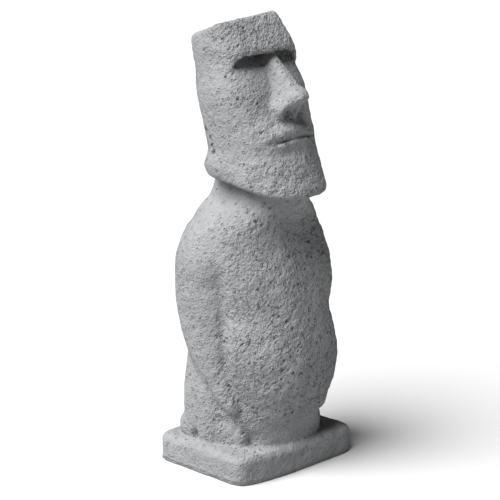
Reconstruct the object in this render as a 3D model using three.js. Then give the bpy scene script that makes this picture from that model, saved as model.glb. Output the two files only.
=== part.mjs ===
// A stone head figure on its square foot, cast in one piece.
// Millimetres, +Z up, the face looks along -Y, the origin is the middle of the underside.
// The form is a field: negative inside, zero on the skin. Each part of the figure is one
// function of the field, they are blended together, and the skin is drawn on a graded grid.
import * as THREE from 'three';

// ---- foot slab ----
const SLAB_WIDTH = 75;
const SLAB_DEPTH = 62;
const SLAB_THICK = 14;
const SLAB_ROUND = 4.2;

// ---- body, section by section: height, half width, front, back, squareness ----
const TRUNK = [
  [8, 30.5, 29.0, 23.0, 2.8],
  [20, 30.5, 29.5, 23.0, 2.8],
  [30, 30.6, 33.0, 22.5, 2.8],
  [42, 31.2, 36.4, 22.5, 2.8],
  [58, 31.8, 37.8, 23.5, 2.8],
  [70, 30.8, 35.8, 24.8, 2.8],
  [80, 30.2, 33.0, 25.8, 2.8],
  [92, 31.4, 30.2, 26.5, 3.4],
  [104, 32.4, 26.4, 26.5, 3.6],
  [113, 32.2, 23.0, 25.5, 3.4],
  [121, 30.0, 22.4, 23.8, 3.0],
  [128, 25.4, 24.6, 22.0, 2.7],
  [134, 21.0, 27.8, 20.9, 2.3],
  [141, 18.0, 31.0, 20.5, 2.1],
  [160, 18.0, 20.0, 20.0, 2.0],
];
const TRUNK_BOTTOM = 6;
const TRUNK_TOP = 160;

// ---- hips behind the hands, same columns ----
const HIPS = [
  [6, 32.5, 12, 22.5, 2.5],
  [22, 33.8, 12, 23.0, 2.5],
  [36, 33.0, 10, 23.0, 2.5],
  [50, 31.0, 8, 23.0, 2.4],
  [66, 27.0, 6, 23.0, 2.2],
];
const HIPS_TOP = 66;

// ---- arms: places are sideways, forward, up ----
const SHOULDER = { at: [19, -7, 108], size: [16, 17, 19] };
const ARM_TOP = [25.6, -8.5, 104];
const ELBOW = [26.8, -8.5, 77];
const WRIST = [29.8, 4.5, 44];
const ARM_RADIUS = [11.2, 10.2, 6.8];
const ARM_FLATNESS = 0.75;
const HAND = { at: [29.4, 7.8, 38], size: [6.4, 7.0, 9] };

// ---- feet ----
const FOOT_AT = [23, 5, 19];
const FOOT_HALF = [10.8, 15, 8];
const FOOT_ROUND = 5;
const FOOT_SLOPE = -8;
const HEEL = { at: [26, -13, 20], size: [8.4, 7.5, 9.5] };
const CREASE = { from: [28.5, 18, 25.6], to: [19, 30, 26.2], radii: [2.6, 1.2] };

// ---- head: height, half width, widest place, front, back, squareness front and back ----
const HEAD = [
  [132, 23.6, 6, 38.0, -16.0, 2.6, 2.0],
  [140, 24.4, 5, 37.2, -17.5, 2.7, 2.0],
  [148, 25.0, 4, 33.4, -19.5, 2.8, 2.0],
  [156, 23.6, 4, 29.2, -21.8, 3.0, 1.9],
  [166, 23.4, 4, 24.3, -25.0, 3.3, 1.9],
  [176, 24.4, 3, 19.6, -28.2, 3.8, 1.95],
  [186, 24.8, 1, 15.0, -30.6, 4.0, 2.0],
  [196, 23.8, -2, 10.0, -31.8, 4.0, 2.0],
  [206, 22.4, -6, 6.8, -32.8, 4.5, 2.05],
  [214, 20.8, -9, 1.4, -33.6, 5.0, 2.1],
  [224, 19.4, -11, -4.4, -34.2, 6.0, 2.2],
];
const CROWN_LINE = [-33, 211, -5.5, 220.2];
const CROWN_TILT = 0.07;
const FOREHEAD_LINE = [-5.4, 221.9, 8, 206.3];
const JAW_LINE = [37, 138.4, -9, 147.4];
const JAW_FLARE = { at: [17.5, -3, 151], size: [7, 10.5, 5.5] };
const HEAD_TURN = 3;
const HEAD_ROLL = 0.04;

// ---- face ----
const BROW_MIDDLE = [0, 3.8, 206.4];
const BROW_BEND = [14.5, 3.4, 206.2];
const BROW_END = [20, 0.6, 199.4];
const BROW_RADII = [4.3, 4.2, 2.6];
const EYE = { at: [12.4, 9.4, 199.2], size: [9.6, 6.6, 7.6], slope: 16, lean: 0.25 };
const NOSE_RIDGE = [8.6, 203.6, 32.4, 185];
const NOSE_UNDER = [32.4, 182.8, 16, 174];
const NOSE_HALF_TOP = 3;
const NOSE_HALF_GAIN = 3;
const NOSE_SPREAD = 0.42;
const NOSE_WING = { at: [6.6, 20.5, 178.6], size: [5, 6.4, 5] };
const NOSE_TIP = { at: [1.8, 28, 184.2], size: [4.2, 4.4, 4] };
const MUZZLE = { at: [0, 16.5, 166], size: [20, 9.5, 11] };
const UPPER_LIP = { from: [0, 23.6, 167.6], to: [14, 20.6, 166.2], radii: [2.6, 1.5] };
const LOWER_LIP = { from: [0, 24.8, 162.8], to: [13.5, 21.4, 162], radii: [2.6, 1.5] };
const MOUTH = { from: [0, 27.6, 165.2], to: [16.5, 23.6, 163.6], radii: [1.4, 0.7] };

// ---- skin grid: runs of [end, number of cells] from a start ----
const GRID_X = { start: -42.2, runs: [[-27.2, 4], [-12.2, 4], [12.8, 10], [27.8, 4], [42.8, 4]] };
const GRID_Y = { start: -43.1, runs: [[-13.1, 12], [38.9, 11]] };
const GRID_Z = {
  start: -1.5,
  runs: [[1.5, 1], [18, 4], [34, 4], [130, 15], [160, 8], [210, 22], [226, 5]],
};
const SETTLE_STEPS = 3;

// ------------------------------------------------------------------ field tools
const clamp = (v, low, high) => Math.min(Math.max(v, low), high);

function blend(a, b, width) {
  const h = Math.max(width - Math.abs(a - b), 0) / width;
  return Math.min(a, b) - (h * h * width) / 4;
}

function carve(a, b, width) {
  return -blend(-a, -b, width);
}

// Columns of a table of sections at one height, joined by a smooth curve.
function sectionAt(rows, height) {
  const last = rows.length - 1;
  const z = clamp(height, rows[0][0], rows[last][0]);
  let i = 0;
  while (i < last - 1 && z >= rows[i + 1][0]) i += 1;
  const span = rows[i + 1][0] - rows[i][0];
  const t = (z - rows[i][0]) / span;
  const slope = (row, c) => {
    if (row === 0 || row === last) return 0;
    return (rows[row + 1][c] - rows[row - 1][c]) / (rows[row + 1][0] - rows[row - 1][0]);
  };
  const out = [];
  for (let c = 1; c < rows[0].length; c += 1) {
    const a = (2 * t * t * t - 3 * t * t + 1) * rows[i][c];
    const b = (t * t * t - 2 * t * t + t) * span * slope(i, c);
    const d = (-2 * t * t * t + 3 * t * t) * rows[i + 1][c];
    const e = (t * t * t - t * t) * span * slope(i + 1, c);
    out.push(a + b + d + e);
  }
  return out;
}

function oval(x, y, halfX, halfY, square) {
  const q = (Math.abs(x / halfX) ** square + Math.abs(y / halfY) ** square) ** (1 / square);
  return ((q - 1) * Math.hypot(x, y)) / Math.max(q, 1e-6);
}

function ellipsoid(p, shape) {
  const q = p.map((v, i) => (v - shape.at[i]) / shape.size[i]);
  const outer = Math.hypot(...q);
  const inner = Math.hypot(...q.map((v, i) => v / shape.size[i]));
  return (outer * (outer - 1)) / Math.max(inner, 1e-6);
}

// A round rod whose radius changes from one end to the other.
function rod(p, from, to, r0, r1) {
  const along = to.map((v, i) => v - from[i]);
  const rel = p.map((v, i) => v - from[i]);
  const dot = rel[0] * along[0] + rel[1] * along[1] + rel[2] * along[2];
  const t = clamp(dot / (along[0] ** 2 + along[1] ** 2 + along[2] ** 2), 0, 1);
  return Math.hypot(...rel.map((v, i) => v - t * along[i])) - (r0 + (r1 - r0) * t);
}

function roundedBox(x, y, z, half, round) {
  const q = [Math.abs(x) - half[0], Math.abs(y) - half[1], Math.abs(z) - half[2]];
  const r = q.map((v) => v + round);
  const outside = Math.hypot(...r.map((v) => Math.max(v, 0)));
  return outside + Math.min(Math.max(...r), 0) - round;
}

// Distance above a line drawn in the side view from (f0, z0) to (f1, z1).
function aboveLine(f, z, [f0, z0, f1, z1]) {
  return ((z - z0) * (f1 - f0) - (f - f0) * (z1 - z0)) / Math.hypot(f1 - f0, z1 - z0);
}

// ------------------------------------------------------------------ body
function column(p, rows, bottom, top) {
  const [half, front, back, square] = sectionAt(rows, p[2]);
  const d = oval(p[0], p[1] - (front - back) / 2, half, (front + back) / 2, square);
  return Math.max(d, p[2] - top, bottom - p[2]);
}

function arm(p) {
  const flat = (v) => [v[0], v[1] * ARM_FLATNESS, v[2]];
  const q = flat(p);
  const upper = rod(q, flat(ARM_TOP), flat(ELBOW), ARM_RADIUS[0], ARM_RADIUS[1]);
  const lower = rod(q, flat(ELBOW), flat(WRIST), ARM_RADIUS[1], ARM_RADIUS[2]);
  const shoulder = blend(ellipsoid(p, SHOULDER), upper, 6);
  return blend(blend(shoulder, lower, 8), ellipsoid(p, HAND), 4);
}

function foot(p) {
  const c = Math.cos(THREE.MathUtils.degToRad(FOOT_SLOPE));
  const s = Math.sin(THREE.MathUtils.degToRad(FOOT_SLOPE));
  const f = p[1] - FOOT_AT[1];
  const z = p[2] - FOOT_AT[2];
  const block = roundedBox(p[0] - FOOT_AT[0], f * c - z * s, f * s + z * c, FOOT_HALF, FOOT_ROUND);
  return blend(block, ellipsoid(p, HEEL), 2.5);
}

function body(x, f, z) {
  const side = [Math.abs(x), f, z];
  let d = blend(column([x, f, z], TRUNK, TRUNK_BOTTOM, TRUNK_TOP), arm(side), 4);
  d = carve(d, -rod(side, CREASE.from, CREASE.to, ...CREASE.radii), 2);
  const legs = blend(column(side, HIPS, TRUNK_BOTTOM, HIPS_TOP), foot(side), 3);
  return blend(d, legs, 3);
}

function slab(x, f, z) {
  const half = [SLAB_WIDTH / 2, SLAB_DEPTH / 2, SLAB_THICK];
  return Math.max(roundedBox(x, f, z, half, SLAB_ROUND), -z);
}

// ------------------------------------------------------------------ head
function skull(p) {
  const [x, f, z] = p;
  const [half, widest, front, back, squareFront, squareBack] = sectionAt(HEAD, z);
  const ahead = f > widest;
  const reach = ahead ? front - widest : widest - back;
  let d = oval(x, f - widest, half, reach, ahead ? squareFront : squareBack);
  d = carve(d, aboveLine(f, z - CROWN_TILT * x, CROWN_LINE), 6);
  d = carve(d, aboveLine(f, z, FOREHEAD_LINE), 3);
  d = carve(d, aboveLine(f, z, JAW_LINE), 3.5);
  return blend(d, ellipsoid([Math.abs(x), f, z], JAW_FLARE), 6);
}

function brow(side) {
  const inner = rod(side, BROW_MIDDLE, BROW_BEND, BROW_RADII[0], BROW_RADII[1]);
  const outer = rod(side, BROW_BEND, BROW_END, BROW_RADII[1], BROW_RADII[2]);
  return blend(inner, outer, 2);
}

function eyeSocket(side) {
  const c = Math.cos(THREE.MathUtils.degToRad(EYE.slope));
  const s = Math.sin(THREE.MathUtils.degToRad(EYE.slope));
  const [dx, df, dz] = side.map((v, i) => v - EYE.at[i]);
  const local = [dx * c - dz * s, df + EYE.lean * (dx - dz), dx * s + dz * c];
  return ellipsoid(local, { at: [0, 0, 0], size: EYE.size });
}

function nose(side) {
  const [x, f, z] = side;
  const ridge = aboveLine(f, z, NOSE_RIDGE);
  const drop = clamp((NOSE_RIDGE[1] - z) / (NOSE_RIDGE[1] - NOSE_UNDER[3]), 0, 1);
  const half = NOSE_HALF_TOP + NOSE_HALF_GAIN * drop;
  const flank = (x - half - NOSE_SPREAD * Math.max(-ridge, 0)) * 0.9;
  let d = carve(carve(flank, ridge, 2.5), aboveLine(f, z, NOSE_UNDER), 2);
  d = carve(d, 2 - f, 3);
  return blend(blend(d, ellipsoid(side, NOSE_WING), 2), ellipsoid(side, NOSE_TIP), 2);
}

function lips(side) {
  const upper = rod(side, UPPER_LIP.from, UPPER_LIP.to, ...UPPER_LIP.radii);
  const lower = rod(side, LOWER_LIP.from, LOWER_LIP.to, ...LOWER_LIP.radii);
  return blend(blend(upper, lower, 0.8), ellipsoid(side, MUZZLE), 4);
}

function head(x, f, z) {
  const c = Math.cos(THREE.MathUtils.degToRad(HEAD_TURN));
  const s = Math.sin(THREE.MathUtils.degToRad(HEAD_TURN));
  const p = [x * c - f * s, f * c + x * s, z - HEAD_ROLL * x];
  const side = [Math.abs(p[0]), p[1], p[2]];
  let d = carve(skull(p), -eyeSocket(side), 1.5);
  d = blend(d, brow(side), 1.5);
  d = blend(d, nose(side), 2);
  d = blend(d, lips(side), 3);
  return carve(d, -rod(side, MOUTH.from, MOUTH.to, ...MOUTH.radii), 0.8);
}

function field(x, y, z) {
  const below = blend(body(x, -y, z), slab(x, -y, z), 1.5);
  return Math.max(blend(below, head(x, -y, z), 2.5), -z);
}

// ------------------------------------------------------------------ skin
function gridLines({ start, runs }) {
  const lines = [start];
  let from = start;
  for (const [end, cells] of runs) {
    for (let i = 1; i <= cells; i += 1) lines.push(from + ((end - from) * i) / cells);
    from = end;
  }
  return lines;
}

function gradient(p) {
  const e = 0.05;
  const g = new THREE.Vector3(
    field(p.x + e, p.y, p.z) - field(p.x - e, p.y, p.z),
    field(p.x, p.y + e, p.z) - field(p.x, p.y - e, p.z),
    field(p.x, p.y, p.z + e) - field(p.x, p.y, p.z - e),
  );
  return g.divideScalar(2 * e);
}

// One point in every grid cell the skin passes through, one quad across every crossed edge.
function drawSkin() {
  const axes = [gridLines(GRID_X), gridLines(GRID_Y), gridLines(GRID_Z)];
  const [nx, ny, nz] = axes.map((a) => a.length);
  const at = (i, j, k) => (i * ny + j) * nz + k;
  const value = new Float64Array(nx * ny * nz);
  for (let i = 0; i < nx; i += 1) {
    for (let j = 0; j < ny; j += 1) {
      for (let k = 0; k < nz; k += 1) {
        value[at(i, j, k)] = field(axes[0][i], axes[1][j], axes[2][k]);
      }
    }
  }

  const points = [];
  const pointOf = new Map();
  const corners = [];
  for (let n = 0; n < 8; n += 1) corners.push([n >> 2, (n >> 1) & 1, n & 1]);
  const edges = [];
  corners.forEach((a, m) => corners.forEach((b, n) => {
    const apart = Math.abs(a[0] - b[0]) + Math.abs(a[1] - b[1]) + Math.abs(a[2] - b[2]);
    if (m < n && apart === 1) edges.push([a, b]);
  }));
  const place = (cell, c) => new THREE.Vector3(...axes.map((a, d) => a[cell[d] + c[d]]));
  const valueOf = (cell, c) => value[at(cell[0] + c[0], cell[1] + c[1], cell[2] + c[2])];

  const middleOf = (cell) => {
    const sum = new THREE.Vector3();
    let crossings = 0;
    for (const [a, b] of edges) {
      const va = valueOf(cell, a);
      const vb = valueOf(cell, b);
      if ((va < 0) !== (vb < 0)) {
        sum.add(place(cell, a).lerp(place(cell, b), va / (va - vb)));
        crossings += 1;
      }
    }
    return crossings ? sum.divideScalar(crossings) : null;
  };

  for (let i = 0; i < nx - 1; i += 1) {
    for (let j = 0; j < ny - 1; j += 1) {
      for (let k = 0; k < nz - 1; k += 1) {
        const cell = [i, j, k];
        const p = middleOf(cell);
        if (p) {
          const low = place(cell, [0, 0, 0]);
          const high = place(cell, [1, 1, 1]);
          const margin = high.clone().sub(low).multiplyScalar(0.08);
          low.add(margin);
          high.sub(margin);
          if (k > 0) {
            for (let n = 0; n < SETTLE_STEPS; n += 1) {
              const g = gradient(p);
              p.addScaledVector(g, -field(p.x, p.y, p.z) / Math.max(g.lengthSq(), 0.25));
              p.clamp(low, high);
            }
          }
          pointOf.set(at(i, j, k), points.length);
          points.push(p);
        }
      }
    }
  }

  const index = [];
  const quad = (a, b, c, d) => {
    const shortAC = points[a].distanceTo(points[c]) <= points[b].distanceTo(points[d]);
    if (shortAC) index.push(a, b, c, a, c, d);
    else index.push(a, b, d, b, c, d);
  };
  const size = [nx, ny, nz];
  for (let d = 0; d < 3; d += 1) {
    const u = (d + 1) % 3;
    const v = (d + 2) % 3;
    const n = [0, 0, 0];
    for (n[d] = 0; n[d] < size[d] - 1; n[d] += 1) {
      for (n[u] = 1; n[u] < size[u] - 1; n[u] += 1) {
        for (n[v] = 1; n[v] < size[v] - 1; n[v] += 1) {
          const next = [...n];
          next[d] += 1;
          const inside = value[at(...n)] < 0;
          if (inside !== value[at(...next)] < 0) {
            const ring = [[1, 1], [0, 1], [0, 0], [1, 0]].map(([du, dv]) => {
              const cell = [...n];
              cell[u] -= du;
              cell[v] -= dv;
              return pointOf.get(at(...cell));
            });
            if (!inside) ring.reverse();
            quad(...ring);
          }
        }
      }
    }
  }

  const geometry = new THREE.BufferGeometry();
  geometry.setAttribute('position', new THREE.Float32BufferAttribute(
    points.flatMap((p) => [p.x, p.y, p.z]), 3));
  geometry.setIndex(index);
  geometry.computeVertexNormals();
  return geometry;
}

const cement = new THREE.MeshStandardMaterial({ color: 0x9a9d9e, roughness: 0.92, metalness: 0 });
const statue = new THREE.Mesh(drawSkin(), cement);
statue.name = 'moai_statue';

const root = new THREE.Group();
root.name = 'moai_head_statue';
root.add(statue);
export default root;
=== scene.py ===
"""A cast-cement moai head statue on a square foot slab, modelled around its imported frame."""

import bpy
import numpy as np
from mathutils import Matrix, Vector
from mathutils.kdtree import KDTree


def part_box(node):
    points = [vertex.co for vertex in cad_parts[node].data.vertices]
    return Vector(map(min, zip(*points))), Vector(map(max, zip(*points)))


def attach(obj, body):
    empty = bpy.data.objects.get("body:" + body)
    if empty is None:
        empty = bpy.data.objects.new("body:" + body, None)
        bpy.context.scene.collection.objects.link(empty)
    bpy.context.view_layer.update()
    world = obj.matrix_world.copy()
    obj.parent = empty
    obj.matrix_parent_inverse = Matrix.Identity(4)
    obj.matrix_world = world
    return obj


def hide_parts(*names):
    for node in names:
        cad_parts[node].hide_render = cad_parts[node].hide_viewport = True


bl_info = {
    "name": "Cast Moai Statue",
    "version": (1, 0, 0),
    "blender": (4, 5, 0),
    "location": "3D View > Sidebar > Statue",
    "description": "Builds a pitted cast-cement moai statue and a plain studio around it",
    "category": "Object",
}

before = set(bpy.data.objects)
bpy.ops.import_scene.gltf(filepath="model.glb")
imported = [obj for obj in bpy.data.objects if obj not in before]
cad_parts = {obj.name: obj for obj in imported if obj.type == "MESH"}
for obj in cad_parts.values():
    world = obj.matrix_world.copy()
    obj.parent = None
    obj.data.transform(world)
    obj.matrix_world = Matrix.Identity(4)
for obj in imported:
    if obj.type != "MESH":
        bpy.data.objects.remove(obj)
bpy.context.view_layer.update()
NODE = "moai_statue"
MM = 1000.0  # millimetres in a metre
LOW, HIGH = (np.array(c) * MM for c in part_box(NODE))
SEED = 41

# ---------------------------------------------------------------- sizes, millimetres
# Side-view places are (forward, up); forward is -Y, and every table runs upwards.
# A place on a limb is (sideways, forward, up), the same on both sides of the body.
SLAB_AHEAD = 2.0  # from the figure's own axis forward to the middle of the slab

#  height  half-w widest front  back   squareness front, back
TRUNK = (
    (8.0, 30.0, 2.0, 29.8, -22.0, 2.6, 2.8),
    (20.0, 30.2, 2.0, 30.0, -22.5, 2.8, 2.8),
    (27.0, 29.8, 2.5, 32.2, -22.5, 3.0, 2.8),
    (34.0, 29.8, 3.5, 34.2, -22.5, 3.1, 2.8),
    (44.0, 31.6, 5.0, 36.6, -22.8, 3.2, 2.8),
    (58.0, 33.4, 6.0, 37.6, -23.8, 3.1, 2.8),
    (69.0, 32.8, 5.0, 36.0, -25.0, 3.1, 2.8),
    (80.0, 31.2, 4.0, 33.4, -26.0, 3.1, 2.8),
    (92.0, 34.0, 2.0, 30.4, -26.8, 3.9, 3.2),
    (104.0, 34.8, 0.0, 26.6, -26.8, 4.2, 3.2),
    (113.0, 34.2, -1.0, 23.4, -25.8, 3.8, 3.2),
    (121.0, 31.6, -1.0, 22.4, -24.2, 3.2, 2.9),
    (128.0, 26.0, 0.0, 24.4, -22.4, 3.4, 3.2),
    (134.0, 19.6, 2.0, 27.6, -21.2, 2.9, 2.8),
    (141.0, 17.0, 3.0, 31.0, -20.8, 2.2, 2.4),
    (160.0, 18.0, 0.0, 20.0, -20.0, 2.0, 2.0),
)
HIPS = (
    (6.0, 34.2, -5.0, 12.0, -23.3, 2.5, 3.4),
    (22.0, 34.2, -5.0, 12.0, -23.3, 2.5, 3.4),
    (36.0, 34.0, -6.0, 10.0, -23.4, 2.5, 3.4),
    (48.0, 32.4, -7.0, 8.0, -23.5, 2.4, 3.2),
    (66.0, 30.0, -8.0, 6.0, -24.0, 2.2, 2.8),
)
#  height sideways forward  half-w  half-d, for each side of the body
ARM = (
    (28.0, 25.2, 12.6, 1.0, 1.0),
    (31.0, 25.4, 12.0, 3.6, 3.8),
    (36.0, 25.8, 9.6, 5.4, 5.8),
    (44.0, 26.4, 4.4, 6.2, 8.0),
    (52.0, 26.8, 0.0, 7.8, 10.0),
    (60.0, 26.6, -3.6, 9.4, 12.4),
    (74.0, 25.8, -7.4, 10.8, 15.0),
    (90.0, 25.4, -8.8, 11.4, 16.0),
    (106.0, 24.8, -8.6, 11.0, 14.8),
    (118.0, 21.5, -7.4, 7.0, 10.4),
)
GROOVE = (
    (27.0, 28.6, 18.0, 1.0, 1.0),
    (36.0, 29.6, 14.8, 3.2, 3.2),
    (44.0, 31.2, 11.6, 4.2, 4.2),
    (54.0, 33.2, 8.8, 4.6, 4.8),
    (66.0, 33.6, 8.6, 5.2, 4.8),
    (82.0, 34.0, 8.4, 5.0, 4.6),
    (98.0, 35.0, 8.6, 4.2, 4.2),
    (114.0, 38.0, 8.0, 1.0, 2.0),
)
HEAD = (
    (132.0, 23.0, 6.0, 38.0, -16.4, 2.6, 2.0),
    (140.0, 23.6, 5.0, 37.2, -18.0, 2.7, 2.0),
    (148.0, 23.8, 4.0, 33.4, -20.2, 2.8, 2.0),
    (156.0, 23.8, 4.0, 29.2, -22.6, 3.0, 1.9),
    (166.0, 24.2, 4.0, 24.3, -25.4, 3.3, 1.9),
    (176.0, 25.0, 3.0, 19.6, -27.8, 3.8, 1.95),
    (186.0, 25.4, 1.0, 15.4, -29.8, 4.0, 2.0),
    (196.0, 24.2, -2.0, 11.0, -31.0, 4.4, 2.0),
    (205.0, 23.2, -6.0, 8.8, -32.4, 5.6, 2.05),
    (214.0, 21.6, -9.0, 3.0, -33.4, 6.0, 2.1),
    (224.0, 20.2, -11.0, -3.0, -34.2, 6.0, 2.2),
)

TRUNK_SOFTER, TRUNK_LEAST, TRUNK_SLIM = 1.0, 1.85, 1.6
HEAD_SOFTER, HEAD_LEAST = 0.85, 2.4
LIMB_SQUARENESS = 2.1
TRUNK_LOW, TRUNK_HIGH, HIPS_HIGH = 6.0, 160.0, 66.0
SHOULDER, SHOULDER_SIZE = (20.0, -7.0, 108.0), (16.0, 17.5, 19.0)

#  rods: sideways, forward, up, radius
BELLY_FOLD = (
    (30.0, 16.0, 26.0, 2.4),
    (24.0, 25.6, 23.6, 3.0),
    (15.0, 32.8, 26.0, 2.0),
    (9.0, 35.0, 29.0, 0.6),
)
TOE_SPACE = (
    (-32.5, 12.0, 16.0, 6.5),
    (-26.0, 21.0, 16.0, 6.8),
    (-20.5, 30.0, 16.0, 4.2),
)
UPPER_LIP = (
    (0.0, 24.2, 167.4, 2.4),
    (7.0, 23.6, 167.0, 2.2),
    (14.5, 21.4, 165.6, 1.4),
)
LOWER_LIP = (
    (0.0, 25.4, 162.6, 2.4),
    (7.0, 24.8, 162.4, 2.2),
    (13.5, 22.2, 161.6, 1.4),
)
MOUTH_MIDDLE, MOUTH_CORNER = (0.0, 27.6, 165.0), (16.8, 24.0, 163.2)
MOUTH_RADII = (1.1, 0.5)

FOOT_TURN = np.radians(18.8)
FOOT_SLOPE = 0.27
FOOT_MIDDLE, FOOT_HALF, FOOT_ROUND = (23.6, 1.5, 18.8), (6.8, 16.0, 7.2), 4.0
HEEL, HEEL_SIZE = (26.6, -14.5, 19.0), (7.8, 7.4, 8.6)
HAND_DENT, HAND_DENT_SIZE = (31.0, 12.0, 26.8), (4.5, 6.0, 2.4)
HEEL_NOTCH, HEEL_NOTCH_SIZE = (35.0, -6.4, 16.0), (3.4, 1.8, 3.6)

SLAB_HEIGHT, SLAB_EDGE, SLAB_SQUARENESS = 14.0, 4.0, 12
SLAB_DEEP, SLAB_BOW = 31.1, 0.003

HEAD_TURN, HEAD_TILT = np.radians(3.0), 0.045
BROW_UP = 203.6
NOSE_HEIGHT = 29.6
#  flat cuts, each a line in the side view: forward, up, to forward, up
CROWN_CUT, CROWN_LEAN = (-33.0, 210.2, -5.5, 219.4), 0.07
FOREHEAD_CUT = (-4.8, 221.9, 8.8, 206.0)
JAW_CUT = (37.0, 137.2, -9.0, 147.2)
SOCKET_FLOOR = (0.8, 202.0, 11.4, 193.2)
NOSE_RIDGE = (5.2, BROW_UP, 31.0, 185.4)
NOSE_UNDERSIDE = (31.2, 183.0, 16.0, 174.4)
NOSE_WING, NOSE_WING_SIZE = (4.7, 19.6, 178.4), (3.4, 5.6, 4.8)
NOSE_TIP, NOSE_TIP_SIZE = (1.2, 27.0, 184.0), (4.2, 4.4, 3.8)
NOSTRIL, NOSTRIL_SIZE = (4.0, 24.6, 176.8), (1.7, 2.4, 2.0)
MUZZLE, MUZZLE_SIZE = (0.0, 16.5, 165.0), (20.0, 8.8, 10.0)
JAW, JAW_SIZE = (17.5, -3.0, 151.0), (6.6, 10.5, 5.5)

# ---------------------------------------------------------------- marks of the casting
#  how many, narrowest and widest half, stretch, depth for its width, height of the lip
PORES = {
    "small": (1900, 0.38, 0.62, 1.3, 0.95, 0.14),
    "large": (200, 0.6, 1.0, 1.5, 0.8, 0.16),
    "belly chips": (160, 0.45, 0.8, 2.6, 0.75, 0.2),
    "ear hollows": (60, 0.8, 1.9, 1.9, 0.85, 0.1),
    "nape hollows": (26, 0.6, 1.2, 1.5, 0.9, 0.05),
}
CHIP_LEAN = (0.7, 0.0, 0.7)
#  size of the humps, height, seed
WAVES = ((15.0, 0.32, 1), (7.0, 0.22, 2))
GRAIN = ((2.6, 0.17, 3), (1.5, 0.16, 4))
EDGE_CHIPS = ((9.0, 0.45, 5), (4.0, 0.25, 6))
GRAIN_DRAWN_OUT = 1.6
# pore depth at which the painted shade inside a pore is full
PORE_DEPTH_FOR_FULL_SHADE = 0.55
FEWER_LARGE = 2.2
LONG_HALF = 9  # the column it has in a row of scatter_pores
LATTICE = 32

# ---------------------------------------------------------------- studio, metres
CAMERA_ROUND = np.radians(-44.0)
CAMERA_OUT, CAMERA_UP = 0.726, 0.286
CAMERA_AIM = (0.0, 0.002, 0.110)
SENSOR, LENS = 36.0, 109.512
LENS_SHIFT = (-0.008, -0.016)
SUN_UP, SUN_ROUND, SUN_ANGLE = np.radians(55.0), np.radians(-12.0), np.radians(50.0)
SUN_ENERGY, SKY_STRENGTH = 9.0, 0.1
FLOOR_HALF, FLOOR_TONE, FLOOR_ROUGHNESS = 6.0, 0.45, 0.9


# ---------------------------------------------------------------- field tools
def blend(a, b, width):
    """Both shapes as one, with a fillet about width across where they meet."""
    h = np.maximum(width - np.abs(a - b), 0.0) / width
    return np.minimum(a, b) - h * h * width * 0.25


def carve(a, b, width):
    """What two shapes share, with a rounded edge about width across."""
    return -blend(-a, -b, width)


def ease(low, high, v):
    """Climbs smoothly from 0 at low to 1 at high; low may be the greater one."""
    t = np.clip((v - low) / (high - low), 0.0, 1.0)
    return t * t * (3.0 - 2.0 * t)


def sections(rows, z):
    """The columns of a table at each height, joined by a smooth curve."""
    table = np.asarray(rows, float)
    at, cols = table[:, 0], table[:, 1:]
    slope = np.zeros_like(cols)
    slope[1:-1] = (cols[2:] - cols[:-2]) / (at[2:] - at[:-2])[:, None]
    z = np.clip(z, at[0], at[-1])
    i = np.clip(np.searchsorted(at, z, side="right") - 1, 0, len(at) - 2)
    span = at[i + 1] - at[i]
    t = (z - at[i]) / span
    t2, t3 = t * t, t * t * t
    out = []
    for c in range(cols.shape[1]):
        low = (2 * t3 - 3 * t2 + 1) * cols[i, c] + (t3 - 2 * t2 + t) * span * slope[i, c]
        high = (3 * t2 - 2 * t3) * cols[i + 1, c] + (t3 - t2) * span * slope[i + 1, c]
        out.append(low + high)
    return out


def column(x, f, z, rows, softer=0.0, least=2.0, slim=0.0):
    """Stacked ovals. On the figure's right, softer brings the front's squareness down towards least,
    and slim narrows the side."""
    half, widest, front, back, square_front, square_back = sections(rows, z)
    right = ease(6.0, -8.0, x)
    square_front = square_front - softer * np.maximum(square_front - least, 0.0) * right
    half = half - slim * right
    g = f - widest
    ahead = g > 0
    reach = np.where(ahead, front - widest, widest - back)
    n = np.where(ahead, square_front, square_back)
    q = (np.abs(x / half) ** n + np.abs(g / reach) ** n) ** (1.0 / n)
    return (q - 1.0) * np.hypot(x, g) / np.maximum(q, 1e-6)


def limb(side, z, rows):
    """A column of plain ovals round a leaning middle line."""
    at, on, half, deep = sections(rows, z)
    dx, df = side[:, 0] - at, side[:, 1] - on
    n = LIMB_SQUARENESS
    q = (np.abs(dx / half) ** n + np.abs(df / deep) ** n) ** (1 / n)
    round_it = (q - 1.0) * np.hypot(dx, df) / np.maximum(q, 1e-6)
    return np.maximum(round_it, np.maximum(z - rows[-1][0], rows[0][0] - z))


def ellipsoid(p, at, size):
    q = (p - np.array(at)) / np.array(size)
    outer = np.linalg.norm(q, axis=1)
    inner = np.linalg.norm(q / np.array(size), axis=1)
    return outer * (outer - 1.0) / np.maximum(inner, 1e-6)


def rod(p, a, b, r0, r1):
    a, b = np.array(a, float), np.array(b, float)
    t = np.clip(((p - a) @ (b - a)) / ((b - a) @ (b - a)), 0.0, 1.0)
    return np.linalg.norm(p - a - t[:, None] * (b - a), axis=1) - (r0 + (r1 - r0) * t)


def chain(p, places, width):
    """Rods from place to place; a place is (sideways, forward, up, radius)."""
    d = None
    for a, b in zip(places, places[1:]):
        e = rod(p, a[:3], b[:3], a[3], b[3])
        d = e if d is None else blend(d, e, width)
    return d


def rounded_box(x, y, z, half, round_):
    qx, qy, qz = (np.abs(v) - h + round_ for v, h in zip((x, y, z), half))
    out = np.sqrt(np.maximum(qx, 0) ** 2 + np.maximum(qy, 0) ** 2 + np.maximum(qz, 0) ** 2)
    return out + np.minimum(np.maximum(qx, np.maximum(qy, qz)), 0.0) - round_


def above(f, z, f0, z0, f1, z1):
    """Distance above a line drawn in the side view."""
    return ((z - z0) * (f1 - f0) - (f - f0) * (z1 - z0)) / np.hypot(f1 - f0, z1 - z0)


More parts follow.
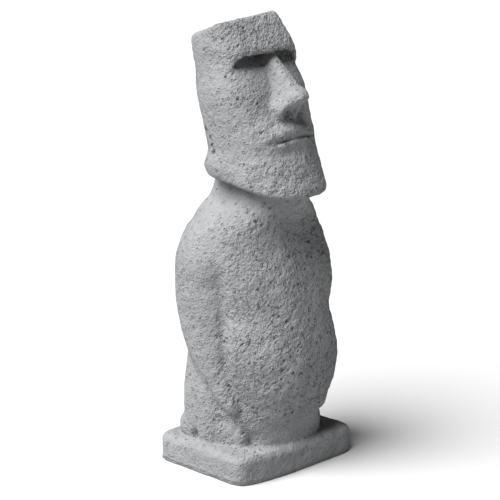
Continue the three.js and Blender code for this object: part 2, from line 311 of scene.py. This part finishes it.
# ---------------------------------------------------------------- the figure
def between(z, low, high):
    return np.maximum(z - high, low - z)


def arm(side, z):
    return blend(ellipsoid(side, SHOULDER, SHOULDER_SIZE), limb(side, z, ARM), 6)


def foot(side):
    """A wedge that turns inwards to the toes, with a round heel behind it."""
    c, s = np.cos(FOOT_TURN), np.sin(FOOT_TURN)
    dx, df, dz = (side - np.array(FOOT_MIDDLE)).T
    across, along = dx * c + df * s, df * c - dx * s
    lift = (dz + FOOT_SLOPE * along) * 0.965
    block = rounded_box(across, along, lift, FOOT_HALF, FOOT_ROUND)
    return blend(block, ellipsoid(side, HEEL, HEEL_SIZE), 1.5)


def body(x, f, z):
    """Trunk, arms, hips and feet, with the hollows between them."""
    side = np.stack([np.abs(x), f, z], 1)
    trunk = column(x, f, z, TRUNK, TRUNK_SOFTER, TRUNK_LEAST, TRUNK_SLIM)
    d = np.maximum(trunk, between(z, TRUNK_LOW, TRUNK_HIGH))
    # the hollow down the front of the arm, the fold under the belly, the space before the right toes
    d = carve(d, -limb(side, z, GROOVE), 5)
    d = carve(d, -chain(side, BELLY_FOLD, 2), 2)
    d = carve(d, -chain(np.stack([x, f, z], 1), TOE_SPACE, 2), 3)
    d = blend(d, arm(side, z), 1.6)
    hips = column(x, f, z, HIPS)
    d = blend(d, np.maximum(hips, between(z, TRUNK_LOW, HIPS_HIGH)), 3)
    # the dent behind the hand, over the foot
    d = carve(d, -ellipsoid(side, HAND_DENT, HAND_DENT_SIZE), 3)
    d = blend(d, foot(side), 1.6)
    return carve(d, -ellipsoid(side, HEEL_NOTCH, HEEL_NOTCH_SIZE), 2.5)


def slab(x, f, z):
    """The foot slab: bowed sides that are not quite square, softened edges."""
    g = f - SLAB_AHEAD
    n = SLAB_SQUARENESS
    half = np.where(x < 0, 38.6 - 0.05 * f, 38.8 + 0.02 * f)
    deep = SLAB_DEEP - SLAB_BOW * np.minimum(x, 0.0) ** 2 * (g > 0)
    q = (np.abs(x / half) ** n + np.abs(g / deep) ** n) ** (1 / n)
    side = (q - 1.0) * np.hypot(x, g) / np.maximum(q, 1e-6) + SLAB_EDGE
    top = np.abs(z) - SLAB_HEIGHT + SLAB_EDGE
    edge = np.hypot(np.maximum(side, 0), np.maximum(top, 0))
    return np.maximum(edge + np.minimum(np.maximum(side, top), 0) - SLAB_EDGE, -z)


def skull(x, f, z):
    """The head without its features: a column cut flat at the crown, forehead and jaw."""
    d = column(x, f, z, HEAD, HEAD_SOFTER, HEAD_LEAST)
    d = carve(d, above(f, z - CROWN_LEAN * x, *CROWN_CUT), 2.5)
    d = carve(d, above(f, z, *FOREHEAD_CUT), 1.8)
    d = carve(d, above(f, z, *JAW_CUT), 2.5)
    return blend(d, ellipsoid(np.stack([np.abs(x), f, z], 1), JAW, JAW_SIZE), 6)


def eye_sockets(x, f, z):
    """What is cut out under the brow: an arched ceiling, a sloping floor and an outer wall."""
    wide = np.abs(x)
    arch = BROW_UP - 0.095 * np.maximum(wide - 13.2, 0.0) ** 2
    ceiling = (z - arch + 0.15 * (f - 8.0)) * 0.9
    floor = -above(f, z, *SOCKET_FLOOR)
    wall = (wide + 0.8 * f - 29.8) / 1.28
    return carve(carve(ceiling, floor, 3.0), wall, 3.0)


def nose(x, f, z):
    """A wedge that widens downwards, leaning a little, with wings, a round tip and nostrils."""
    x = np.abs(x - 0.8 - 0.27 * np.clip(z - 184.0, -3.0, 18.0))
    side = np.stack([x, f, z], 1)
    ridge = above(f, z, *NOSE_RIDGE)
    drop = np.clip((BROW_UP - z) / NOSE_HEIGHT, 0, 1)
    flank = (x - 2.7 - 1.3 * drop - 0.22 * np.maximum(-ridge, 0)) * 0.96
    d = carve(carve(flank, ridge, 2.5), above(f, z, *NOSE_UNDERSIDE), 1.6)
    d = carve(d, 2.0 - f, 3)
    d = blend(d, ellipsoid(side, NOSE_WING, NOSE_WING_SIZE), 1.6)
    d = blend(d, ellipsoid(side, NOSE_TIP, NOSE_TIP_SIZE), 1.6)
    return carve(d, -ellipsoid(side, NOSTRIL, NOSTRIL_SIZE), 1.2)


def lips(side):
    both = blend(chain(side, UPPER_LIP, 2), chain(side, LOWER_LIP, 2), 0.6)
    return blend(both, ellipsoid(side, MUZZLE, MUZZLE_SIZE), 4)


def head(x, f, z):
    """Skull, eye sockets, nose and mouth, turned and tilted a little on the neck."""
    c, s = np.cos(HEAD_TURN), np.sin(HEAD_TURN)
    x, f, z = x * c - f * s, f * c + x * s, z - HEAD_TILT * x
    side = np.stack([np.abs(x), f, z], 1)
    d = carve(skull(x, f, z), -eye_sockets(x, f, z), 0.8 + 3.6 * ease(199.5, 195.5, z))
    d = blend(d, nose(x, f, z), 1.6)
    d = blend(d, lips(side), 3)
    return carve(d, -rod(side, MOUTH_MIDDLE, MOUTH_CORNER, *MOUTH_RADII), 0.6)


def own_axes(p):
    """Sideways, forward from the figure's axis, and up."""
    return p[:, 0], SLAB_AHEAD - p[:, 1], p[:, 2]


def field(p):
    """Negative inside the statue, zero on its skin, in millimetres."""
    x, f, z = own_axes(p)
    below = blend(body(x, f, z), slab(x, f, z), 1.2)
    return np.maximum(blend(below, head(x, f, z), 1.2), -z)


# ---------------------------------------------------------------- skin
BATCH = 300000


def grid_field(axes):
    """The field on a grid: everywhere coarsely, then exactly where the skin is near."""
    shape = tuple(len(a) for a in axes)
    step = axes[0][1] - axes[0][0]
    hop = 4
    coarse = [a[::hop] for a in axes]
    cx, cy, cz = np.meshgrid(*coarse, indexing="ij")
    rough = field(np.stack([cx.ravel(), cy.ravel(), cz.ravel()], 1)).reshape(cx.shape)
    near = np.abs(rough) < step * hop * 2.2
    nearest = np.ix_(
        *[np.minimum(np.round(np.arange(n) / hop).astype(int), len(c) - 1) for n, c in zip(shape, coarse)]
    )
    out, mask = rough[nearest], near[nearest]
    where = np.argwhere(mask)
    points = np.stack([axes[d][where[:, d]] for d in range(3)], 1)
    batches = max(1, len(points) // BATCH)
    out[mask] = np.concatenate([field(part) for part in np.array_split(points, batches)])
    return out


def surface_net(value, axes):
    """One point in each cell the skin passes through, one quad across each crossed edge."""
    inside = value < 0
    halves = (slice(None, -1), slice(1, None))
    count = sum(inside[halves[i], halves[j], halves[k]].astype(np.int8) for i, j, k in np.ndindex(2, 2, 2))
    active = (count > 0) & (count < 8)
    ids = np.argwhere(active)
    name = np.full(active.shape, -1)
    name[active] = np.arange(len(ids))
    total, hits = np.zeros((len(ids), 3)), np.zeros(len(ids))
    for d in range(3):
        u, v = (d + 1) % 3, (d + 2) % 3
        for a in (0, 1):
            for b in (0, 1):
                low = ids.copy()
                low[:, u] += a
                low[:, v] += b
                high = low.copy()
                high[:, d] += 1
                f0, f1 = value[tuple(low.T)], value[tuple(high.T)]
                cut = (f0 < 0) != (f1 < 0)
                t = np.where(cut, f0 / np.where(cut, f0 - f1, 1.0), 0.0)
                for c in range(3):
                    place = axes[c][low[:, c]]
                    if c == d:
                        place = place + t * (axes[c][high[:, c]] - place)
                    total[:, c] += np.where(cut, place, 0.0)
                hits += cut
    verts = total / hits[:, None]
    quads = []
    for d in range(3):
        u, v = (d + 1) % 3, (d + 2) % 3
        first, second = [slice(None)] * 3, [slice(None)] * 3
        first[d], second[d] = slice(None, -1), slice(1, None)
        a, b = inside[tuple(first)], inside[tuple(second)]
        edge = np.argwhere(a != b)
        outward = a[tuple(edge.T)]
        ring = []
        for du, dv in ((1, 1), (0, 1), (0, 0), (1, 0)):
            cell = edge.copy()
            cell[:, u] -= du
            cell[:, v] -= dv
            ring.append(name[tuple(cell.T)])
        q = np.stack(ring, 1)
        q[~outward] = q[~outward][:, ::-1]
        quads.append(q)
    return verts, np.concatenate(quads)


def gradient(p, e=0.05):
    """Which way and how steeply the field climbs."""
    g = np.empty_like(p)
    for d in range(3):
        hop = np.zeros(3)
        hop[d] = e
        g[:, d] = (field(p + hop) - field(p - hop)) / (2 * e)
    return g


def triangles(verts, quads):
    """Each quad cut along its shorter diagonal."""
    ac = np.linalg.norm(verts[quads[:, 0]] - verts[quads[:, 2]], axis=1)
    bd = np.linalg.norm(verts[quads[:, 1]] - verts[quads[:, 3]], axis=1)
    s, o = quads[ac <= bd], quads[ac > bd]
    return np.concatenate([s[:, [0, 1, 2]], s[:, [0, 2, 3]], o[:, [0, 1, 3]], o[:, [1, 2, 3]]])


def refine(verts, tris, wanted):
    """Cuts every triangle edge whose middle is wanted, keeping the skin closed."""
    pairs = np.sort(np.concatenate([tris[:, [0, 1]], tris[:, [1, 2]], tris[:, [2, 0]]]), axis=1)
    edges, back = np.unique(pairs, axis=0, return_inverse=True)
    back = back.reshape(3, -1).T
    middle = (verts[edges[:, 0]] + verts[edges[:, 1]]) / 2
    cut = wanted(middle)
    # a triangle with two cut edges gets its third cut as well, twice over
    for _ in range(2):
        many = cut[back].sum(1) >= 2
        cut[back[many].ravel()] = True
    new = np.full(len(edges), -1)
    new[cut] = len(verts) + np.arange(cut.sum())
    verts = np.concatenate([verts, middle[cut]])
    m = new[back]
    n = cut[back].sum(1)
    out = [tris[n == 0]]
    full, mm = tris[n == 3], m[n == 3]
    out += [
        np.stack([full[:, 0], mm[:, 0], mm[:, 2]], 1),
        np.stack([mm[:, 0], full[:, 1], mm[:, 1]], 1),
        np.stack([mm[:, 2], mm[:, 1], full[:, 2]], 1),
        mm,
    ]
    for e in range(3):
        one = (n == 1) & (m[:, e] >= 0)
        t, c = tris[one], m[one, e]
        a, b, o = t[:, e], t[:, (e + 1) % 3], t[:, (e + 2) % 3]
        out += [np.stack([a, c, o], 1), np.stack([c, b, o], 1)]
    for e in range(3):
        two = (n == 2) & (m[:, e] < 0)
        t = tris[two]
        a, b, o = t[:, e], t[:, (e + 1) % 3], t[:, (e + 2) % 3]
        c1, c2 = m[two, (e + 1) % 3], m[two, (e + 2) % 3]
        out += [np.stack([a, b, c1], 1), np.stack([a, c1, c2], 1), np.stack([c1, o, c2], 1)]
    return verts, np.concatenate(out)


def vertex_normals(verts, tris):
    face = np.cross(verts[tris[:, 1]] - verts[tris[:, 0]], verts[tris[:, 2]] - verts[tris[:, 0]])
    n = np.zeros_like(verts)
    for k in range(3):
        np.add.at(n, tris[:, k], face)
    return n / np.maximum(np.linalg.norm(n, axis=1, keepdims=True), 1e-9)


# ---------------------------------------------------------------- surface of the casting
def lumps(p, size, seed):
    """Smooth noise from -1 to 1 with humps about size across."""
    lattice = np.random.default_rng(seed).random((LATTICE, LATTICE, LATTICE)) * 2 - 1
    q = p / size
    i = np.floor(q).astype(int)
    t = q - i
    t = t * t * (3 - 2 * t)
    out = np.zeros(len(p))
    for corner in np.ndindex(2, 2, 2):
        weight = np.prod(np.abs(1 - np.array(corner) - t), axis=1)
        cell = (i + corner) % LATTICE
        out += weight * lattice[cell[:, 0], cell[:, 1], cell[:, 2]]
    return out


def relief(p, layers):
    return sum(lumps(p, size, seed) * height for size, height, seed in layers)


def pore_weight(p):
    """How thickly the pores lie: most on the belly, brow and chin, fewest on the smooth sides."""
    _, f, z = own_axes(p)
    front = ease(4.0, 14.0, f)
    w = 0.75 + 1.5 * front * ease(18, 34, z) * ease(132, 118, z)
    w += 1.6 * ease(200, 208, z) * ease(-14, -4, f)
    w += 1.3 * ease(160, 152, z) * ease(136, 142, z) * ease(12, 22, f)
    w -= 0.35 * ease(176, 186, z) * ease(-2, -8, f)
    w *= 1.0 - 0.3 * ease(14.0, 12.5, z)
    return np.where(z < 1.2, 0.0, w)


def scatter_pores(verts, tris):
    """Places of the pores on the skin: middle, long way, normal, half sizes, depth, and lip."""
    rng = np.random.default_rng(SEED)
    a, b, c = (verts[tris[:, k]] for k in range(3))
    cross = np.cross(b - a, c - a)
    area = np.linalg.norm(cross, axis=1) / 2
    middle = (a + b + c) / 3
    normal = cross / np.maximum(2 * area[:, None], 1e-9)
    rows = []

    def sow(kind, weight, lean=None):
        count, smallest, largest, stretch, depth, lip = PORES[kind]
        chance = area * weight
        pick = rng.choice(len(tris), count, p=chance / chance.sum())
        for t in pick:
            u, v = rng.random(2)
            if u + v > 1:
                u, v = 1 - u, 1 - v
            at = a[t] + u * (b[t] - a[t]) + v * (c[t] - a[t])
            n = normal[t]
            long_way = rng.normal(size=3) if lean is None else np.array(lean) + rng.normal(size=3) * 0.3
            long_way -= n * (long_way @ n)
            long_way /= np.linalg.norm(long_way)
            short = smallest + (largest - smallest) * rng.random() ** FEWER_LARGE
            long = short * (1.0 + (stretch - 1.0) * rng.random())
            deep = depth * short * (0.7 + 0.6 * rng.random())
            rows.append((*at, *long_way, *n, long, short, deep, lip))

    x, f, z = own_axes(middle)
    everywhere = pore_weight(middle)
    belly = ease(6.0, 14.0, f) * ease(24, 36, z) * ease(128, 116, z)
    ear = ease(-24, -20, f) * ease(-2, -6, f) * ease(151, 155, z) * ease(170, 165, z) * (np.abs(x) > 12)
    nape = ease(172, 177, z) * ease(204, 199, z) * ease(-26, -23, f) * ease(-17, -20, f)
    sow("small", everywhere)
    sow("large", everywhere)
    sow("belly chips", belly, CHIP_LEAN)
    sow("ear hollows", ear)
    sow("nape hollows", nape)
    return np.array(rows)


def tree_of(points):
    tree = KDTree(len(points))
    for i, point in enumerate(points):
        tree.insert(point, i)
    tree.balance()
    return tree


def press_pores(verts, normals, pores):
    """How deep each point of the skin sinks into a pore, and how high it stands in a pore's lip."""
    tree = tree_of(verts)
    rng = np.random.default_rng(SEED + 1)
    inward, lips = np.zeros(len(verts)), np.zeros(len(verts))
    for row in pores:
        at, long_way, n = row[:3], row[3:6], row[6:9]
        long_half, short_half, depth, lip = row[LONG_HALF:]
        near = np.array([i for _, i, _ in tree.find_range(at, long_half * 1.5)], int)
        if len(near) == 0:
            continue
        off = verts[near] - at
        u = off @ long_way / long_half
        w = off @ np.cross(n, long_way) / short_half
        turn = np.arctan2(w, u)
        ragged = 1 + 0.16 * np.sin(3 * turn + 6.3 * rng.random())
        ragged += 0.1 * np.sin(5 * turn + 6.3 * rng.random())
        q = np.hypot(u, w) * ragged
        facing = np.maximum(normals[near] @ n, 0.0)
        inward[near] = np.maximum(inward[near], depth * (1 - ease(0.25, 1.0, q)) * facing)
        lips[near] = np.maximum(lips[near], lip * np.exp(-(((q - 1.12) / 0.2) ** 2)) * facing)
    return inward, lips


def rough_skin(verts, tris):
    """The cast surface: slow waves, grain, pores and chipped slab edges."""
    pores = scatter_pores(verts, tris)
    tree = tree_of(pores[:, :3])

    def near_pore(points):
        out = np.zeros(len(points), bool)
        for k, point in enumerate(points):
            _, i, distance = tree.find(point)
            out[k] = distance < pores[i, LONG_HALF] * 1.25
        return out & (points[:, 2] > 1.0)

    first = len(verts)
    verts, tris = refine(verts, tris, near_pore)
    grown = np.arange(len(verts)) >= first
    g = gradient(verts[grown])
    move = np.clip(field(verts[grown]) / np.maximum((g * g).sum(1), 0.3), -0.25, 0.25)
    verts[grown] -= g * move[:, None]
    normals = vertex_normals(verts, tris)
    inward, lips = press_pores(verts, normals, pores)
    z = verts[:, 2]
    edge = ease(18.0, 13.0, z)
    slow = relief(verts, WAVES)
    # the grain runs up to the figure's left
    slant = np.sqrt(0.5)
    along, across = (verts[:, 0] + verts[:, 2]) * slant, (verts[:, 2] - verts[:, 0]) * slant
    drawn = np.stack([along / GRAIN_DRAWN_OUT, verts[:, 1], across], 1)
    grain = relief(drawn, GRAIN)
    grain *= 0.55 + 0.45 * np.clip(pore_weight(verts), 0.0, 1.6)
    chipped = edge * relief(verts, EDGE_CHIPS)
    out = (slow + grain + chipped + lips - inward) * ease(0.2, 4.0, z)
    verts = verts + normals * out[:, None]
    verts[:, 2] = np.maximum(verts[:, 2], 0.0)
    # the last value is the painted shade for the base colour, darker the deeper a pore sinks
    return verts, tris, np.clip(inward / PORE_DEPTH_FOR_FULL_SHADE, 0.0, 1.0)


def lay_mesh(name, verts, tris, pore_shade, coarse):
    """A smooth-shaded mesh that carries the painted shade of its pores and how coarse its skin is, for the
    cement.
    """
    mesh = bpy.data.meshes.new(name)
    mesh.vertices.add(len(verts))
    mesh.vertices.foreach_set("co", (verts / MM).astype(np.float32).ravel())
    mesh.loops.add(len(tris) * 3)
    mesh.loops.foreach_set("vertex_index", tris.astype(np.int32).ravel())
    mesh.polygons.add(len(tris))
    mesh.polygons.foreach_set("loop_start", np.arange(0, len(tris) * 3, 3, dtype=np.int32))
    mesh.polygons.foreach_set("use_smooth", np.ones(len(tris), bool))
    mesh.update(calc_edges=True)
    mesh.validate()
    # the first attribute is the painted shade inside the pores, the second the bump strength
    for label, values in (("pore_painted_shade", pore_shade), ("coarse", coarse)):
        layer = mesh.attributes.new(label, "FLOAT", "POINT")
        layer.data.foreach_set("value", values.astype(np.float32))
    return mesh


def smooth_statue(step):
    """The skin before it is roughened, drawn on a grid that reaches past the solid's box."""
    room = 2.5
    axes = [
        np.arange(LOW[0] - room, HIGH[0] + room + step, step),
        np.arange(LOW[1] - room, HIGH[1] + room + step, step),
        np.arange(-step * 2.5, HIGH[2] + room + step, step),
    ]
    verts, quads = surface_net(grid_field(axes), axes)
    low = verts[:, 2] < step * 0.5
    g = gradient(verts)
    move = np.clip(field(verts) / np.maximum((g * g).sum(1), 0.3), -0.3 * step, 0.3 * step)
    move[low] = 0
    return verts - g * move[:, None], triangles(verts, quads)


# ---------------------------------------------------------------- cement
def cement_material(colour):
    """Dry cement: cloudy grey, matt, drawn grain and fine pits with a rim, with painted shade inside the
    pits and the pores.
    """
    m = bpy.data.materials.new("cement")
    m.use_nodes = True
    nodes, links = m.node_tree.nodes, m.node_tree.links
    shader = nodes["Principled BSDF"]
    shader.inputs["Specular IOR Level"].default_value = 0.3
    place = nodes.new("ShaderNodeTexCoord").outputs["Object"]

    drawn = nodes.new("ShaderNodeMapping")
    drawn.vector_type = "TEXTURE"
    drawn.inputs["Rotation"].default_value = (0.0, -np.pi / 4, 0.0)
    drawn.inputs["Scale"].default_value = (2.0, 1.0, 1.0)
    links.new(place, drawn.inputs["Vector"])

    def noise(size, detail, rough=0.55, streaks=False):
        n = nodes.new("ShaderNodeTexNoise")
        n.inputs["Scale"].default_value = MM / size
        n.inputs["Detail"].default_value = detail
        n.inputs["Roughness"].default_value = rough
        links.new(drawn.outputs["Vector"] if streaks else place, n.inputs["Vector"])
        return n.outputs["Fac"]

    def spread(value, low, high, to_low, to_high):
        n = nodes.new("ShaderNodeMapRange")
        for name, v in (("From Min", low), ("From Max", high), ("To Min", to_low), ("To Max", to_high)):
            n.inputs[name].default_value = v
        links.new(value, n.inputs["Value"])
        return n.outputs["Result"]

    def maths(kind, a, b):
        n = nodes.new("ShaderNodeMath")
        n.operation = kind
        for socket, v in zip(n.inputs, (a, b)):
            if isinstance(v, float):
                socket.default_value = v
            else:
                links.new(v, socket)
        return n.outputs["Value"]

    def cells(size):
        n = nodes.new("ShaderNodeTexVoronoi")
        n.inputs["Scale"].default_value = MM / size
        links.new(place, n.inputs["Vector"])
        return n.outputs["Distance"]

    def layer(label):
        n = nodes.new("ShaderNodeAttribute")
        n.attribute_name = label
        return n.outputs["Fac"]

    sand, pit = cells(1.5), cells(3.4)
    clouds = spread(noise(26.0, 3.0), 0.3, 0.7, 0.9, 1.1)
    mottle = spread(noise(2.2, 4.0, 0.7), 0.3, 0.7, 0.9, 1.1)
    tone = maths("MULTIPLY", clouds, mottle)
    # painted shade: the base colour darkens to 0.8 at the middle of each small bump pit
    tone = maths("MULTIPLY", tone, spread(pit, 0.06, 0.16, 0.8, 1.0))
    # painted shade: the base colour darkens to 0.7 in the deepest pores
    tone = maths("MULTIPLY", tone, spread(layer("pore_painted_shade"), 0.0, 1.0, 1.0, 0.7))
    mix = nodes.new("ShaderNodeMix")
    mix.data_type = "RGBA"
    mix.inputs["A"].default_value = (0.0, 0.0, 0.0, 1.0)
    mix.inputs["B"].default_value = (*colour, 1.0)
    mix.clamp_factor = False
    links.new(tone, mix.inputs["Factor"])
    links.new(mix.outputs["Result"], shader.inputs["Base Color"])
    links.new(spread(noise(5.0, 3.0), 0.3, 0.7, 0.84, 0.98), shader.inputs["Roughness"])

    grain = maths("MULTIPLY", noise(3.2, 3.0, 0.6, True), 1.1)
    grain = maths("ADD", grain, maths("MULTIPLY", noise(1.5, 3.0, 0.65), 0.9))
    grain = maths("ADD", grain, maths("MULTIPLY", spread(sand, 0.0, 0.45, 0.0, 1.0), 0.3))
    rim = maths("MULTIPLY", spread(pit, 0.1, 0.2, 0.0, 1.0), spread(pit, 0.2, 0.34, 1.0, 0.72))
    grain = maths("ADD", grain, maths("MULTIPLY", rim, 0.8))
    grain = maths("MULTIPLY", grain, layer("coarse"))
    bump = nodes.new("ShaderNodeBump")
    bump.inputs["Strength"].default_value = 1.0
    bump.inputs["Distance"].default_value = 0.0012
    links.new(grain, bump.inputs["Height"])
    links.new(bump.outputs["Normal"], shader.inputs["Normal"])
    return m


class StatueSettings(bpy.types.PropertyGroup):
    """What the panel lets a user change"""

    grid_step: bpy.props.FloatProperty(
        name="Skin step",
        description="Spacing of the grid the skin is drawn on",
        default=0.00105,
        min=0.0005,
        unit="LENGTH",
    )
    cement: bpy.props.FloatVectorProperty(
        name="Cement",
        description="Colour of the dry cement",
        default=(0.2, 0.203, 0.208),
        size=3,
        subtype="COLOR",
    )


class STATUE_OT_cast(bpy.types.Operator):
    """Casts the statue: head, body, arms, feet and foot slab in one piece"""

    bl_idname = "statue.cast"
    bl_label = "Cast the statue"

    def execute(self, context):
        settings = context.scene.statue_settings
        verts, tris = smooth_statue(settings.grid_step * MM)
        # the third value is the painted shade inside the pores
        verts, tris, pore_shade = rough_skin(verts, tris)
        coarse = np.clip(0.45 + 0.4 * pore_weight(verts), 0.4, 1.25)
        mesh = lay_mesh("statue", verts, tris, pore_shade, coarse)
        obj = bpy.data.objects.new("statue", mesh)
        context.scene.collection.objects.link(obj)
        mesh.materials.append(cement_material(settings.cement))
        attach(obj, "root")
        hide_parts(NODE)
        return {"FINISHED"}


def aim(obj, target):
    """Turns a camera or a light, which look along their own -Z, towards a place."""
    obj.rotation_euler = (Vector(target) - obj.location).to_track_quat("-Z", "Y").to_euler()


def lay_floor(scene):
    h = FLOOR_HALF
    mesh = bpy.data.meshes.new("studio_floor")
    mesh.from_pydata([(-h, -h, 0), (h, -h, 0), (h, h, 0), (-h, h, 0)], [], [(0, 1, 2, 3)])
    floor = bpy.data.objects.new("studio_floor", mesh)
    scene.collection.objects.link(floor)
    paint = bpy.data.materials.new("studio_white")
    paint.use_nodes = True
    shader = paint.node_tree.nodes["Principled BSDF"]
    shader.inputs["Base Color"].default_value = (FLOOR_TONE, FLOOR_TONE, FLOOR_TONE, 1)
    shader.inputs["Roughness"].default_value = FLOOR_ROUGHNESS
    mesh.materials.append(paint)


def stand_camera(scene):
    camera = bpy.data.cameras.new("camera")
    camera.sensor_width = SENSOR
    camera.lens = LENS
    camera.shift_x, camera.shift_y = LENS_SHIFT
    obj = bpy.data.objects.new("camera", camera)
    ahead = CAMERA_AIM[1] - np.cos(CAMERA_ROUND) * CAMERA_OUT
    obj.location = (np.sin(CAMERA_ROUND) * CAMERA_OUT, ahead, CAMERA_UP)
    aim(obj, CAMERA_AIM)
    scene.collection.objects.link(obj)
    scene.camera = obj
    scene.view_settings.view_transform = "Standard"


def light_studio(scene):
    """One broad soft sun from the figure's right and above, and a faint even sky."""
    world = bpy.data.worlds.new("studio")
    world.use_nodes = True
    sky = world.node_tree.nodes["Background"]
    sky.inputs["Color"].default_value = (1, 1, 1, 1)
    sky.inputs["Strength"].default_value = SKY_STRENGTH
    scene.world = world
    sun = bpy.data.lights.new("key", "SUN")
    sun.angle = SUN_ANGLE
    sun.energy = SUN_ENERGY
    obj = bpy.data.objects.new("key", sun)
    level = np.cos(SUN_UP)
    obj.location = (-level * np.cos(SUN_ROUND), -level * np.sin(SUN_ROUND), np.sin(SUN_UP))
    aim(obj, (0, 0, 0))
    scene.collection.objects.link(obj)


class STATUE_OT_stage(bpy.types.Operator):
    """Sets the plain floor, the camera and the light"""

    bl_idname = "statue.stage"
    bl_label = "Set the studio"

    def execute(self, context):
        lay_floor(context.scene)
        stand_camera(context.scene)
        light_studio(context.scene)
        return {"FINISHED"}


class STATUE_PT_panel(bpy.types.Panel):
    """Lists the builders in the order they are run"""

    bl_idname = "STATUE_PT_panel"
    bl_label = "Statue"
    bl_space_type = "VIEW_3D"
    bl_region_type = "UI"
    bl_category = "Statue"

    def draw(self, context):
        for cls in OPERATORS:
            self.layout.operator(cls.bl_idname)


OPERATORS = (STATUE_OT_cast, STATUE_OT_stage)
CLASSES = (StatueSettings, *OPERATORS, STATUE_PT_panel)


def register():
    for cls in CLASSES:
        bpy.utils.register_class(cls)
    bpy.types.Scene.statue_settings = bpy.props.PointerProperty(type=StatueSettings)


def unregister():
    del bpy.types.Scene.statue_settings
    for cls in reversed(CLASSES):
        bpy.utils.unregister_class(cls)


def main():
    register()
    bpy.ops.statue.cast()
    bpy.ops.statue.stage()


if __name__ == "__main__":
    main()
